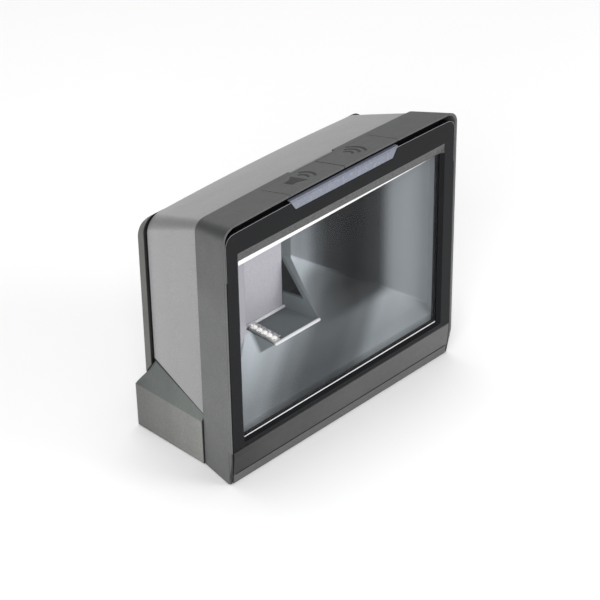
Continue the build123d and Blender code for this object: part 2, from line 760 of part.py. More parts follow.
board_underside = board_top - board_thickness
with BuildPart() as button_board:
    block((-40, 40), (nose_rear + 0.5, 18.5), (board_underside, board_top))
save(button_board, "button_board")

# ---------------------------------------------------------------- status light
with BuildPart() as status_lens:
    extrude(light_outline(0.1, light_bottom, light_top), amount=-1.9)
    # neck that carries the light forward from the lamps
    block((-29.5, 29.5), (1.5, 5.2), (light_bottom + 0.4, light_bottom + 2.6))
save(status_lens, "status_lens")

with BuildPart() as status_lamps:
    for step in range(6):
        x = -25 + 10 * step
        block((x - 1.6, x + 1.6), (5.5, 7.1), (status_board_z + 1, status_board_z + 2.8))
save(status_lamps, "status_lamps")

with BuildPart() as status_board:
    block((-33, 33), (frame_depth + 0.3, 8.4), (status_board_z, status_board_z + 1))
save(status_board, "status_board")

# ---------------------------------------------------------------- main board, chips and ports
with BuildPart() as main_board:
    block((-56, 56), (24, 65), (board_bottom, board_bottom + board_thickness))
    for x in (-50, 50):
        for distance in (32, 62):
            pillar(x, distance, 1.6, (board_bottom - 1, board_bottom + 3), Mode.SUBTRACT)
save(main_board, "main_board")
chip_z = board_bottom + board_thickness

with BuildPart() as board_chips:
    block((-9, 9), (28, 46), (chip_z, chip_z + 1.6))
    block((16, 28), (30, 42), (chip_z, chip_z + 1.2))
    block((-34, -24), (30, 44), (chip_z, chip_z + 1.2))
    for x in (36, 44):
        pillar(x, 46, 3, (chip_z, chip_z + 8))
save(board_chips, "board_chips")

with BuildPart() as board_screws:
    for x in (-50, 50):
        for distance in (32, 62):
            pillar(x, distance, head_radius, (chip_z, chip_z + 1.8))
            pillar(x, distance, screw_radius - 0.45, (4.5, chip_z))
            with Locations((x, behind(distance), chip_z + 1.8)):
                Box(3.2, 0.7, 1.2, mode=Mode.SUBTRACT)
                Box(0.7, 3.2, 1.2, mode=Mode.SUBTRACT)
save(board_screws, "board_screws")

port_rear = depth - 0.6
for name, x in (("host_port", host_x), ("aux_port", aux_x)):
    with BuildPart() as port:
        block((x - port_width / 2, x + port_width / 2), (port_rear - port_length, port_rear),
              (chip_z, chip_z + port_height))
        block((x - port_mouth_width / 2, x + port_mouth_width / 2),
              (port_rear - port_length + 2, port_rear + 1),
              (chip_z + 2, chip_z + 2 + port_mouth_height), Mode.SUBTRACT)
        # step for the latch of the plug
        block((x - 3, x + 3), (port_rear - 6, port_rear + 1),
              (chip_z + 2 + port_mouth_height - 1, chip_z + 2 + port_mouth_height + 2), Mode.SUBTRACT)
    save(port, name)

with BuildPart() as port_contacts:
    for x in (host_x, aux_x):
        for step in range(8):
            at = x - 4.4 + 1.25 * step
            block((at - 0.2, at + 0.2), (port_rear - port_length + 2, port_rear - 5),
                  (chip_z + 2, chip_z + 2.5))
save(port_contacts, "port_contacts")

with BuildPart() as power_jack:
    block((jack_x - 4.6, jack_x + 4.6), (port_rear - 13, port_rear - 3), (chip_z, chip_z + 10.4))
    post(jack_x, jack_z, 5.0, (port_rear - 3.2, port_rear))
    post(jack_x, jack_z, 3.2, (port_rear - 10, port_rear + 1), Mode.SUBTRACT)
save(power_jack, "power_jack")

with BuildPart() as jack_pin:
    post(jack_x, jack_z, 1.0, (port_rear - 10, port_rear - 1))
save(jack_pin, "jack_pin")

# ---------------------------------------------------------------- speaker, behind the slots of the rear cover
with BuildPart() as speaker_frame:
    post(speaker_x, speaker_z, 14, (52, 57.6))
    post(speaker_x, speaker_z, 12.6, (53.2, 58), Mode.SUBTRACT)
    post(speaker_x, speaker_z, 8, (47.6, 53))
save(speaker_frame, "speaker_frame")

with BuildPart() as speaker_cone:
    with BuildSketch(Plane.YZ):
        with BuildLine():
            Polyline((behind(54.2), 0), (behind(54.2), 3.5), (behind(57.0), 12.4), (behind(57.4), 12.4),
                     (behind(54.8), 3.2), (behind(54.8), 0), close=True)
        make_face()
    revolve(axis=Axis.Y)
speaker_cone.part = speaker_cone.part.moved(Location((speaker_x, 0, speaker_z)))
save(speaker_cone, "speaker_cone")

# ---------------------------------------------------------------- ribbons between the boards
with BuildPart() as button_ribbon:
    extrude(side_view([
        (18.0, board_underside - 1.2), (24.6, board_underside - 1.2),
        (24.6, chip_z + 0.6), (30, chip_z + 0.6), (30, chip_z + 0.3),
        (24.3, chip_z + 0.3), (24.3, board_underside - 1.5), (18.0, board_underside - 1.5),
    ]), amount=4, both=True)
button_ribbon.part = button_ribbon.part.moved(Location((44, 0, 0)))
save(button_ribbon, "button_ribbon")

with BuildPart() as camera_ribbon:
    extrude(side_view([
        (51.7, 47), (52.0, 47), (52.0, chip_z + 0.3),
        (47, chip_z + 0.3), (47, chip_z + 0.6), (51.7, chip_z + 0.6),
    ]), amount=5, both=True)
camera_ribbon.part = camera_ribbon.part.moved(Location((-14, 0, 0)))
save(camera_ribbon, "camera_ribbon")
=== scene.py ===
import math
import random

import bmesh
import bpy
from mathutils import Matrix, Vector
from mathutils.bvhtree import BVHTree


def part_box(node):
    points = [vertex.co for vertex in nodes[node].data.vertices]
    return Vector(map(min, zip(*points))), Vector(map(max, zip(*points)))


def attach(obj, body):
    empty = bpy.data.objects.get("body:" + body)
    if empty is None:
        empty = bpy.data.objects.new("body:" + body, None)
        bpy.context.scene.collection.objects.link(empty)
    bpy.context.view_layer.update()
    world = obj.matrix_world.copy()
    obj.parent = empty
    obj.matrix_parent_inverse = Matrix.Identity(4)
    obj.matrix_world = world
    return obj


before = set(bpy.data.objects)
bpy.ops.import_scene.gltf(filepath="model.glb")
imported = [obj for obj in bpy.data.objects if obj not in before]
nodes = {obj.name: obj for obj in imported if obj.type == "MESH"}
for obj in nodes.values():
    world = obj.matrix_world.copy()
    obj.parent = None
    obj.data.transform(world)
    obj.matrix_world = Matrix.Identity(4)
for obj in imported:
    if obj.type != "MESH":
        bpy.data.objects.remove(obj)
scene = bpy.context.scene
MM = 0.001
HALF_DEPTH = 0.034        # the front face is this far in front of the origin


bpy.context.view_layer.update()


def at(x, distance, z):
    """Point in metres from millimetres across, behind the front face, and up."""
    return Vector((x * MM, distance * MM - HALF_DEPTH, z * MM))


# ---------------------------------------------------------------- node helpers
class Graph:
    """Builds one material's nodes."""

    def __init__(self, name):
        self.mat = bpy.data.materials.new(name)
        self.mat.use_nodes = True
        self.tree = self.mat.node_tree
        self.bsdf = self.tree.nodes["Principled BSDF"]
        self.coords = self.node("ShaderNodeTexCoord").outputs["Object"]

    def node(self, kind, **values):
        made = self.tree.nodes.new(kind)
        for key, value in values.items():
            setattr(made, key, value)
        return made

    def link(self, source, target):
        self.tree.links.new(source, target)

    def noise(self, scale, detail=2.0, rough=0.5, stretch=None):
        """Fine noise fixed to the object, stretched along an axis if asked."""
        tex = self.node("ShaderNodeTexNoise")
        tex.inputs["Scale"].default_value = scale
        tex.inputs["Detail"].default_value = detail
        tex.inputs["Roughness"].default_value = rough
        source = self.coords
        if stretch:
            mapping = self.node("ShaderNodeMapping")
            mapping.inputs["Scale"].default_value = stretch
            self.link(self.coords, mapping.inputs["Vector"])
            source = mapping.outputs["Vector"]
        self.link(source, tex.inputs["Vector"])
        return tex.outputs["Fac"]

    def spread(self, value, low, high, start=0.3, end=0.7):
        """Maps start..end to low..high. The default range is the useful part of a noise."""
        remap = self.node("ShaderNodeMapRange")
        remap.inputs["From Min"].default_value = start
        remap.inputs["From Max"].default_value = end
        remap.inputs["To Min"].default_value = low
        remap.inputs["To Max"].default_value = high
        self.link(value, remap.inputs["Value"])
        return remap.outputs["Result"]

    def rise(self, place, start, end, low=0.0, high=1.0):
        """Goes from low to high between two places in millimetres."""
        return self.spread(place, low, high, start * MM, end * MM)

    def fall(self, place, start, end):
        """Goes from 1 to 0 between two places in millimetres."""
        return self.rise(place, start, end, 1.0, 0.0)

    def mix(self, fac, a, b, blend="MIX"):
        """Mix of two colours, each of them and the factor given as values or as sockets."""
        blender = self.node("ShaderNodeMix", data_type="RGBA", blend_type=blend)
        for socket, value in (("Factor", fac), ("A", a), ("B", b)):
            target = [s for s in blender.inputs if s.name == socket and s.enabled][0]
            if isinstance(value, (int, float)):
                target.default_value = value
            elif isinstance(value, tuple):
                target.default_value = (*value, 1.0)
            else:
                self.link(value, target)
        return [s for s in blender.outputs if s.enabled][0]

    def math(self, operation, a, b=0.0):
        calc = self.node("ShaderNodeMath", operation=operation)
        for socket, value in zip(calc.inputs, (a, b)):
            if isinstance(value, (int, float)):
                socket.default_value = value
            else:
                self.link(value, socket)
        return calc.outputs[0]

    def axis(self, name):
        """Place along X, Y or Z, in metres from the origin."""
        split = self.node("ShaderNodeSeparateXYZ")
        self.link(self.coords, split.inputs[0])
        return split.outputs[name]

    def over_line(self, place, run, start, slope):
        """How far a place is over a sloping line that is zero where run is start (millimetres)."""
        line = self.math("MULTIPLY", self.math("ADD", run, -start * MM), slope)
        return self.math("SUBTRACT", place, line)

    def ramp(self, place, start, end, stops):
        """Smooth grey curve over start..end (millimetres), from pairs of place and level."""
        curve = self.node("ShaderNodeValToRGB")
        curve.color_ramp.interpolation = "EASE"
        points = curve.color_ramp.elements
        for k, (stop, level) in enumerate(stops):
            here = (stop - start) / (end - start)
            point = points[k] if k < 2 else points.new(here)      # a new curve has its two ends
            point.position = here
            point.color = (level, level, level, 1.0)
        self.link(self.rise(place, start, end), curve.inputs["Fac"])
        return curve.outputs["Color"]

    def between(self, place, low, high, soft=0.2):
        """1 between two limits in millimetres, 0 outside, with soft ends."""
        return self.all_of(self.rise(place, low - soft, low + soft),
                           self.fall(place, high - soft, high + soft))

    def all_of(self, *masks):
        """1 only where every mask is 1."""
        whole = masks[0]
        for mask in masks[1:]:
            whole = self.math("MULTIPLY", whole, mask)
        return whole

    def times(self, colour, *factors):
        """A colour multiplied by other colours or greys."""
        for factor in factors:
            colour = self.mix(1.0, colour, factor, "MULTIPLY")
        return colour

    def corner(self, level):
        """Painted shade: falls to a level where the surface bends from the side over to the top, and is 1
        elsewhere.
        """
        split = self.node("ShaderNodeSeparateXYZ")
        self.link(self.node("ShaderNodeNewGeometry").outputs["Normal"], split.inputs[0])
        bend = self.math("MULTIPLY", self.math("ABSOLUTE", split.outputs["X"]), split.outputs["Z"])
        flat, full = 0.2, 0.5      # the bend is 0 on the side and the top, and 0.5 half way round
        return self.spread(bend, 1.0, level, flat, full)

    def bump(self, height, strength, distance, radius=0.0):
        """Relief in the surface, with its edges rounded by a radius (metres)."""
        made = self.node("ShaderNodeBump")
        made.inputs["Strength"].default_value = strength
        made.inputs["Distance"].default_value = distance
        self.link(height, made.inputs["Height"])
        if radius:
            edge = self.node("ShaderNodeBevel", samples=4)
            edge.inputs["Radius"].default_value = radius
            self.link(edge.outputs[0], made.inputs["Normal"])
        self.link(made.outputs[0], self.bsdf.inputs["Normal"])

    def set(self, **values):
        """Sets or links the shader's own sockets by name, with _ for a space."""
        for key, value in values.items():
            socket = self.bsdf.inputs[key.replace("_", " ")]
            if isinstance(value, tuple):
                socket.default_value = (*value, 1.0) if len(value) == 3 else value
            elif isinstance(value, (int, float)):
                socket.default_value = value
            else:
                self.link(value, socket)


def tones(colour, mottle):
    """A darker and a lighter tone of a colour."""
    return tuple(c * (1 - mottle) for c in colour), tuple(min(1.0, c * (1 + mottle)) for c in colour)


def moulded(name, colour, rough=0.5, grain=1500.0, depth=0.00006, strength=0.35, edge=0.0004, mottle=0.07,
            specular=0.5, shade=None, speck=0.14):
    """Injection-moulded plastic: spark-eroded grain, flow mottling and handling wear on the roughness."""
    g = Graph(name)
    base = g.mix(g.spread(g.noise(28.0, 3.0, 0.6), 0.0, 1.0), *tones(colour, mottle))
    base = g.times(base, g.spread(g.noise(grain, 2.0, 0.6), 1 - speck, 1 + speck))
    # painted light and shade over the colour, for the parts that are given one
    if shade:
        base = shade(g, base)
    g.set(Base_Color=base, Roughness=g.spread(g.noise(60.0, 4.0, 0.65), rough - 0.06, rough + 0.08),
          Specular_IOR_Level=specular)
    g.bump(g.noise(grain, 3.0, 0.62), strength, depth, edge)
    return g.mat


def polished(name, colour, rough=0.12, edge=0.0003, coat=0.0, wave=0.05, mottle=0.1, specular=0.5,
             shade=None):
    """Gloss plastic: nearly smooth, with faint sink waviness and dust-fine roughness changes."""
    g = Graph(name)
    base = g.mix(g.spread(g.noise(45.0, 3.0), 0.0, 1.0), *tones(colour, mottle))
    g.set(Base_Color=shade(g, base) if shade else base,
          Roughness=g.spread(g.noise(350.0, 5.0, 0.7), max(0.02, rough - 0.05), rough + 0.07),
          Coat_Weight=coat, Coat_Roughness=0.06, Specular_IOR_Level=specular)
    g.bump(g.noise(90.0, 2.0), wave, 0.0002, edge)
    return g.mat


def metal(name, colour, rough=0.3, stretch=(1.0, 1.0, 1.0), grain=900.0, edge=0.0002):
    """Bare or plated metal with a directional or fine crystalline grain."""
    g = Graph(name)
    tarnished = tuple(c * 0.82 for c in colour)
    wear = g.noise(grain * 0.5, 4.0, 0.6, stretch)
    g.set(Base_Color=g.mix(g.spread(g.noise(grain, 4.0, 0.6, stretch), 0.0, 1.0), tarnished, colour),
          Metallic=1.0, Roughness=g.spread(wear, rough - 0.08, rough + 0.1))
    g.bump(g.noise(grain, 3.0, 0.6, stretch), 0.2, 0.00003, edge)
    return g.mat


# ---------------------------------------------------------------- painted light and shade, and tones, in the colours
# Places are in millimetres from the origin: X across, Y from front to back, Z up.
panel_low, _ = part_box("imager_cover")
PANEL_LEFT = panel_low.x / MM + 0.6       # left of this and over the foot, the funnel is as pale as the panel
PANEL_FOOT = panel_low.z / MM + 8.5
PANEL_TONE = (0.56, 0.545, 0.60)
# painted shade for the floor of the recess, slightly greenish
RECESS_SHADE = (0.5, 0.52, 0.51)


def throat_shade(g, base):
    """Inside of the funnel: painted shade that deepens from both sides of the mouth towards the throat, with
    painted light on the ramp and at the very back.
    """
    across, behind, height = g.axis("X"), g.axis("Y"), g.axis("Z")
    slant = g.over_line(across, behind, start=-26.0, slope=2.1)
    along = g.ramp(slant, -70, 70, [(-68, 1.0), (64, 0.78), (-50, 0.7), (-34, 0.36), (-18, 0.21), (0, 0.21),
                                    (14, 0.3), (30, 0.78), (46, 0.88)])
    deep = g.ramp(behind, -34, 6, [(-32, 1.0), (5, 1.7), (-19, 1.0), (-15, 0.2), (-10, 0.05), (-5, 0.25),
                                   (1, 1.3)])
    # the deep painted shade covers the right part, and comes in more gradually on the ramp than on the wall
    # over it
    on_ramp = g.fall(g.over_line(height, behind, start=-47.0, slope=1.45), 1.0, 2.2)
    right = g.mix(on_ramp, g.rise(across, -2.0, 10.0), g.rise(across, -9.0, 26.0))
    shade = g.mix(right, along, g.times(along, deep))
    # painted light on the ramp, growing towards the back
    lit_ramp = g.rise(behind, -26.0, -10.0, 1.0, 2.1)
    shade = g.mix(on_ramp, shade, g.times(shade, lit_ramp))
    # the floor of the recess is painted a flat, greenish half shade
    recess = g.all_of(g.fall(across, 1.5, 2.2), g.rise(behind, -15.0, -14.6), g.rise(across, -38.5, -36.0))
    shaded = g.times(base, g.mix(recess, shade, RECESS_SHADE))
    beside_panel = g.all_of(g.fall(across, PANEL_LEFT, PANEL_LEFT + 0.4),
                            g.rise(height, PANEL_FOOT, PANEL_FOOT + 0.4))
    return g.mix(beside_panel, shaded, PANEL_TONE)


def reveal_shade(g, base):
    """The sloping reveal along the top of the window is a lighter grey than the black frame, mottled in
    coarse patches.
    """
    foot, top, half_width = 117.1, 122.2, 67.6
    band = g.all_of(g.between(g.axis("Z"), foot, top, 0.08), g.between(g.axis("X"), -half_width, half_width))
    coarse = g.spread(g.noise(1100.0, 4.0, 0.75), 0.0, 1.0)
    return g.mix(band, base, g.mix(coarse, (0.055, 0.055, 0.055), (0.13, 0.13, 0.13)))


def boot_shade(g, base):
    """Boot: painted shade, deepening towards the back and on the facet above the crease of its side, with a
    dark joint line in front.
    """
    crease, half_width, joint = 24.0, 68.0, -11.45
    fade = g.ramp(g.axis("Y"), -12, 34, [(-12, 1.0), (34, 0.52), (0, 0.86), (14, 0.68)])
    base = g.times(base, fade, g.rise(g.axis("Y"), joint, joint + 0.2, 0.1, 1.0))
    above = g.rise(g.axis("Z"), crease, crease + 0.6)
    side = g.rise(g.math("ABSOLUTE", g.axis("X")), half_width, half_width + 1.0)
    return g.mix(g.all_of(above, side), base, g.times(base, (0.62, 0.68, 0.68)))


def shell_shade(g, base):
    """Pale shell: painted light growing towards its rear edge, painted shade where the side bends over to the
    top, and a dark joint line along the boot's sloping ridge.
    """
    joint = 27.9
    over_ridge = g.over_line(g.axis("Z"), g.axis("Y"), start=-11.7, slope=0.457)
    return g.times(base, g.ramp(g.axis("Y"), -12, 24, [(-12, 0.86), (24, 1.0), (6, 0.9)]),
                   g.rise(over_ridge, joint, joint + 0.2, 0.1, 1.0), g.corner(0.5))


def cover_shade(g, base):
    """The step of the rear cover is in deep shade, right at the joint."""
    step = 22.6
    return g.times(base, g.rise(g.axis("Y"), step, step + 0.4, 0.06, 1.0))


def chin_shade(g, base):
    """Front housing: browner on the front of the chin, with painted shade across the chin that deepens to the
    left, painted light and shade up the sides that leaves the deck darker, and painted shade where the sides
    bend over to the top.
    """
    front = g.fall(g.axis("Y"), -32.5, -31.5)
    low = g.fall(g.axis("Z"), 18.6, 19.0)
    inner = g.between(g.axis("X"), -75.7, 75.7)
    # painted shade across the chin, darkest at the left
    run = g.ramp(g.axis("X"), -76, 76, [(-76, 0.14), (76, 1.0), (-40, 0.48), (10, 0.76)])
    chin = g.times(base, (1.0, 0.96, 0.98), run)
    # painted light and shade up the housing, darkest on the deck
    tall = g.ramp(g.axis("Z"), 0, 138, [(0, 1.05), (138, 0.8), (40, 1.3), (85, 1.15), (112, 0.92)])
    return g.mix(g.all_of(front, low, inner), g.times(base, tall, g.corner(0.35)), chin)


# ---------------------------------------------------------------- materials
# After the name and the colour, moulded has the roughness, the scale, depth and strength of the grain, the
# radius of the edges and the mottling. Polished has the roughness and the radius of the edges.
MAT = {
    "graphite": moulded("graphite_shell", (0.098, 0.100, 0.100), 0.46, 1300.0, 0.00006, 0.4, 0.0005, 0.06,
                        shade=chin_shade),
    "light": moulded("light_shell", (0.345, 0.343, 0.350), 0.42, 2200.0, 0.00002, 0.15, 0.0005, 0.02,
                     shade=shell_shade),
    "rear": moulded("rear_shell", (0.115, 0.116, 0.108), 0.5, 1400.0, 0.00005, 0.4, 0.0005, 0.06,
                    shade=cover_shade),
    "boot": moulded("boot_shell", (0.235, 0.24, 0.225), 0.5, 1400.0, 0.00005, 0.4, 0.0005, 0.06,
                    shade=boot_shade),
    "base": moulded("base_plastic", (0.10, 0.10, 0.10), 0.55, 1200.0, 0.00007, 0.5, 0.0004, 0.1),
    "frame": polished("gloss_black", (0.006, 0.0065, 0.0075), 0.22, 0.0003, specular=0.12,
                      shade=reveal_shade),
    "rubber": moulded("foot_rubber", (0.03, 0.03, 0.03), 0.75, 900.0, 0.00008, 0.5, 0.0003, 0.15, 0.3),
    "seal": moulded("seal_foam", (0.02, 0.02, 0.02), 0.85, 700.0, 0.0001, 0.6, 0.0002, 0.2, 0.2),
    "baffle": moulded("baffle_plastic", (0.30, 0.327, 0.348), 0.5, 700.0, 0.000005, 0.05, 0.0004, 0.01, 0.1,
                      throat_shade, 0.02),
    "panel": moulded("panel_plastic", (0.60, 0.585, 0.64), 0.4, 2400.0, 0.00002, 0.15, 0.0003, 0.02),
    "black": moulded("black_plastic", (0.02, 0.02, 0.021), 0.5, 1200.0, 0.00005, 0.4, 0.0003, 0.15),
    "chip": moulded("chip_epoxy", (0.022, 0.022, 0.024), 0.55, 2600.0, 0.00003, 0.4, 0.0002, 0.15),
    "port": polished("port_plastic", (0.02, 0.02, 0.022), 0.3, 0.0002),
    "lens": polished("light_lens", (0.185, 0.20, 0.255), 0.25, 0.0004, 0.3, 0.05, 0.06),
    "label": moulded("label_film", (0.7, 0.7, 0.69), 0.35, 2600.0, 0.00001, 0.15, 0.0001, 0.03),
    "ribbon": polished("ribbon_film", (0.45, 0.22, 0.06), 0.3, 0.0001),
    "cone": moulded("cone_paper", (0.03, 0.03, 0.03), 0.85, 1400.0, 0.0001, 0.7, 0.0002, 0.2, 0.25),
    "steel": metal("screw_steel", (0.5, 0.5, 0.51), 0.32),
    "plate": metal("stamped_steel", (0.52, 0.52, 0.51), 0.34, (1.0, 12.0, 1.0)),
    "brass": metal("insert_brass", (0.72, 0.53, 0.24), 0.3),
    "gold": metal("contact_metal", (0.83, 0.64, 0.3), 0.2, (12.0, 1.0, 1.0)),
    "anodised": metal("barrel_metal", (0.06, 0.06, 0.065), 0.35),
    "icon": moulded("icon_ink", (0.012, 0.012, 0.013), 0.4, 2400.0, 0.00001, 0.15, 0.0, 0.1),
    # pale grey: the painted highlight along the frame's rim
    "rim": polished("rim_edge", (0.26, 0.26, 0.28), 0.3, 0.0),
    # pale: painted highlights on the beads, and the colour of the strip along the foot of the glass
    "bead": polished("pale_bead", (0.86, 0.86, 0.88), 0.18, 0.0, 0.3),
}

# circuit board: green solder mask over a raised pattern of tracks
g = Graph("board_green")
tracks = g.node("ShaderNodeTexBrick")
tracks.inputs["Scale"].default_value = 260.0
tracks.inputs["Mortar Size"].default_value = 0.08
tracks.inputs["Color1"].default_value = (0.02, 0.13, 0.05, 1)
tracks.inputs["Color2"].default_value = (0.018, 0.11, 0.045, 1)
tracks.inputs["Mortar"].default_value = (0.05, 0.22, 0.09, 1)
g.link(g.coords, tracks.inputs["Vector"])
g.set(Base_Color=tracks.outputs["Color"], Roughness=g.spread(g.noise(400.0, 3.0), 0.22, 0.38))
g.bump(tracks.outputs["Fac"], 0.15, 0.00004)
MAT["board"] = g.mat

g = Graph("board_white")
g.set(Base_Color=g.mix(g.spread(g.noise(900.0, 4.0, 0.7), 0.0, 1.0), (0.62, 0.62, 0.62), (0.86, 0.86, 0.84)),
      Roughness=g.spread(g.noise(500.0, 3.0), 0.25, 0.4))
g.bump(g.noise(1500.0, 3.0), 0.2, 0.00003)
MAT["white_board"] = g.mat

g = Graph("led_resin")
g.set(Base_Color=g.mix(g.spread(g.noise(1200.0, 3.0, 0.6), 0.0, 1.0), (0.8, 0.8, 0.76), (0.98, 0.97, 0.92)),
      Roughness=g.spread(g.noise(800.0, 3.0), 0.08, 0.2), Emission_Strength=0.35,
      Emission_Color=(1.0, 0.98, 0.95))
g.bump(g.noise(1500.0, 2.0), 0.1, 0.00003)
MAT["led"] = g.mat

g = Graph("window_glass")
g.set(Base_Color=g.mix(g.spread(g.noise(30.0, 2.0), 0.0, 1.0), (0.10, 0.11, 0.12), (0.16, 0.17, 0.18)),
      Roughness=g.spread(g.noise(250.0, 4.0, 0.7), 0.02, 0.05), Alpha=0.05, IOR=1.5)
g.bump(g.noise(12.0, 1.0), 0.02, 0.0002)
MAT["glass"] = g.mat

g = Graph("coated_lens")
g.set(Base_Color=g.mix(g.spread(g.noise(120.0, 2.0), 0.0, 1.0), (0.06, 0.05, 0.12), (0.12, 0.09, 0.2)),
      Roughness=g.spread(g.noise(300.0, 2.0), 0.02, 0.06), Coat_Weight=1.0)
g.bump(g.noise(60.0, 1.0), 0.02, 0.0002)
MAT["optic"] = g.mat

g = Graph("bright_reflector")
g.set(Base_Color=g.mix(g.spread(g.noise(900.0, 3.0, 0.7), 0.0, 1.0), (0.62, 0.64, 0.66), (0.97, 0.97, 0.98)),
      Metallic=0.85, Roughness=g.spread(g.noise(700.0, 3.0), 0.12, 0.3))
g.bump(g.noise(800.0, 3.0, 0.7), 0.6, 0.0002)
MAT["reflector"] = g.mat

g = Graph("light_strip")
g.set(Base_Color=g.mix(g.spread(g.noise(500.0, 3.0, 0.7), 0.0, 1.0), (0.80, 0.80, 0.81), (1.0, 1.0, 1.0)),
      Roughness=g.spread(g.noise(300.0, 2.0), 0.2, 0.35), Emission_Strength=0.3,
      Emission_Color=(1.0, 1.0, 1.0))
g.bump(g.noise(900.0, 2.0), 0.1, 0.00005, 0.0006)
MAT["strip"] = g.mat

USES = {
    "graphite": ["front_housing", "volume_key", "function_key"],
    "light": ["mid_housing"],
    "rear": ["rear_cover"],
    "boot": ["base_boot"],
    "base": ["base_plate"],
    "frame": ["window_frame"],
    "glass": ["scan_window"],
    "seal": ["window_gasket"],
    "rubber": ["rubber_feet"],
    "lens": ["status_lens"],
    "led": ["status_lamps", "illumination_lamps", "light_bar_lamps"],
    "strip": ["light_bar"],
    "white_board": ["light_bar_board", "lamp_board"],
    "board": ["status_board", "button_board", "main_board", "camera_board"],
    "baffle": ["optics_baffle"],
    "panel": ["imager_cover"],
    "black": ["imager_bracket", "lens_holder", "volume_plunger", "function_plunger"],
    "anodised": ["lens_barrel"],
    "optic": ["lens_elements", "image_sensor"],
    "chip": ["board_chips"],
    "ribbon": ["button_ribbon", "camera_ribbon"],
    "plate": ["volume_switch", "function_switch", "speaker_frame"],
    "port": ["host_port", "aux_port", "power_jack"],
    "gold": ["jack_pin", "port_contacts"],
    "brass": ["threaded_inserts"],
    "cone": ["speaker_cone"],
    "label": ["rating_label"],
    "steel": ["baffle_screws", "base_screws", "board_screws", "rear_screws"],
}
for key, names in USES.items():
    for name in names:
        for slot in nodes[name].material_slots:
            slot.material = MAT[key]


# ---------------------------------------------------------------- added pieces
def piece(name, bm, material, body="housing", smooth=True):
    """Makes an object from a bmesh, rides it on a body and gives it a material."""
    bmesh.ops.recalc_face_normals(bm, faces=bm.faces)
    mesh = bpy.data.meshes.new(name)
    bm.to_mesh(mesh)
    bm.free()
    for face in mesh.polygons:
        face.use_smooth = smooth
    mesh.materials.append(material)
    made = bpy.data.objects.new(name, mesh)
    scene.collection.objects.link(made)
    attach(made, body)
    return made


def skin(bm, loops):
    """Joins closed loops of corners in a row, and closes both ends."""
    for one, two in zip(loops, loops[1:]):
        for i in range(len(one)):
            j = (i + 1) % len(one)
            bm.faces.new((one[i], one[j], two[j], two[i]))
    bm.faces.new(loops[0])
    bm.faces.new(loops[-1])


def bar(bm, start, end, radius, steps=14, caps=4):
    """Rounded bar between two points, its ends drawn in to a dome."""
    along = (end - start).normalized()
    side = along.cross(Vector((0, 0, 1))).normalized()
    up = side.cross(along)
    turns = [math.pi / 2 * k / caps for k in range(caps + 1)]
    rings = [(start - along * radius * math.cos(t), radius * math.sin(t)) for t in turns]
    rings += [(end + along * radius * math.sin(t), radius * math.cos(t)) for t in turns]
    tip = radius * 0.04
    loops = []
    for centre, r in rings:
        r = max(r, tip)
        angles = [2 * math.pi * i / steps for i in range(steps)]
        loops.append([bm.verts.new(centre + side * r * math.cos(a) + up * r * math.sin(a)) for a in angles])
    skin(bm, loops)


# pale beads painted as highlights along the recess and under the pale panel, from left to right at a distance
# and a height
for name, start, end, distance, z, radius in (("recess_bead", -27.2, 1.4, 18.9, 46.9, 0.85),
                                              ("panel_bead", -34.6, -2.6, 38.3, 47.7, 0.8)):
    bead = bmesh.new()
    bar(bead, at(start, distance, z), at(end, distance, z), radius * MM)
    piece(name, bead, MAT["bead"])


def strip(name, path, width, thickness, material):
    """Thin flat band that faces the user along a path of points."""
    bm = bmesh.new()
    deep = Vector((0, thickness, 0))
    loops = []
    for k, point in enumerate(path):
        ahead = path[min(k + 1, len(path) - 1)] - path[max(k - 1, 0)]
        across = Vector((-ahead.z, 0, ahead.x)).normalized() * width / 2
        corners = (across, -across, -across + deep, across + deep)
        loops.append([bm.verts.new(point + corner) for corner in corners])
    skin(bm, loops)
    return piece(name, bm, material, smooth=False)


def level_path(half_width, distance, z, steps=8):
    """Level line of points across the front."""
    return [at(-half_width + 2 * half_width * k / steps, distance, z) for k in range(steps + 1)]


# a pale strip along the foot of the glass, and a black strip painted as the shadow line over the lip of the
# base
strip("glass_edge", level_path(65.6, 1.62, 22.75), 0.45 * MM, 0.2 * MM, MAT["bead"])
strip("chin_shadow", level_path(72.5, 0.86, 5.45), 0.5 * MM, 0.3 * MM, MAT["seal"])

# painted highlight along the frame's rim: a pale strip up the side, round the corner and over the slightly
# crowned top
_, frame_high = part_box("window_frame")
RIM_HALF = frame_high.x / MM - 0.25
RIM_RADIUS = 5.0
RIM_TOP = 132.8
RIM_CROWN = 0.8
RIM_FOOT = 110.0          # the line starts this high on the side
RIM_STEPS = 8
rim_path = [(-RIM_HALF, RIM_FOOT), (-RIM_HALF, RIM_FOOT + 8.0)]
for k in range(RIM_STEPS + 1):
    angle = math.radians(180 - 90 * k / RIM_STEPS)
    rim_path.append((-RIM_HALF + RIM_RADIUS + RIM_RADIUS * math.cos(angle),
                     RIM_TOP - RIM_RADIUS + RIM_RADIUS * math.sin(angle)))
rim_path += [(x, RIM_TOP + RIM_CROWN * (1 - (x / 70) ** 2)) for x in range(-62, 1, 8)]
rim_path += [(-x, z) for x, z in reversed(rim_path)]
strip("frame_rim_edge", [at(x, 0.1, z) for x, z in rim_path], 0.2 * MM, 0.1 * MM, MAT["rim"])

# printed signs on the keys
INK_GAP = 0.03 * MM
INK_DEPTH = 0.05 * MM
WAVE_WIDTH = 1.3
SIGN_MIDDLE = 11.2        # distance of both signs' middle behind the front face


def drape(node):
    """Function that gives the height of a node's top at a place."""
    mesh = nodes[node].data
    tree = BVHTree.FromPolygons([v.co.copy() for v in mesh.vertices],
                                [tuple(p.vertices) for p in mesh.polygons])

    def height(x, distance):
        hit = tree.ray_cast(at(x, distance, 200.0), Vector((0, 0, -1)))
        return hit[0].z
    return height


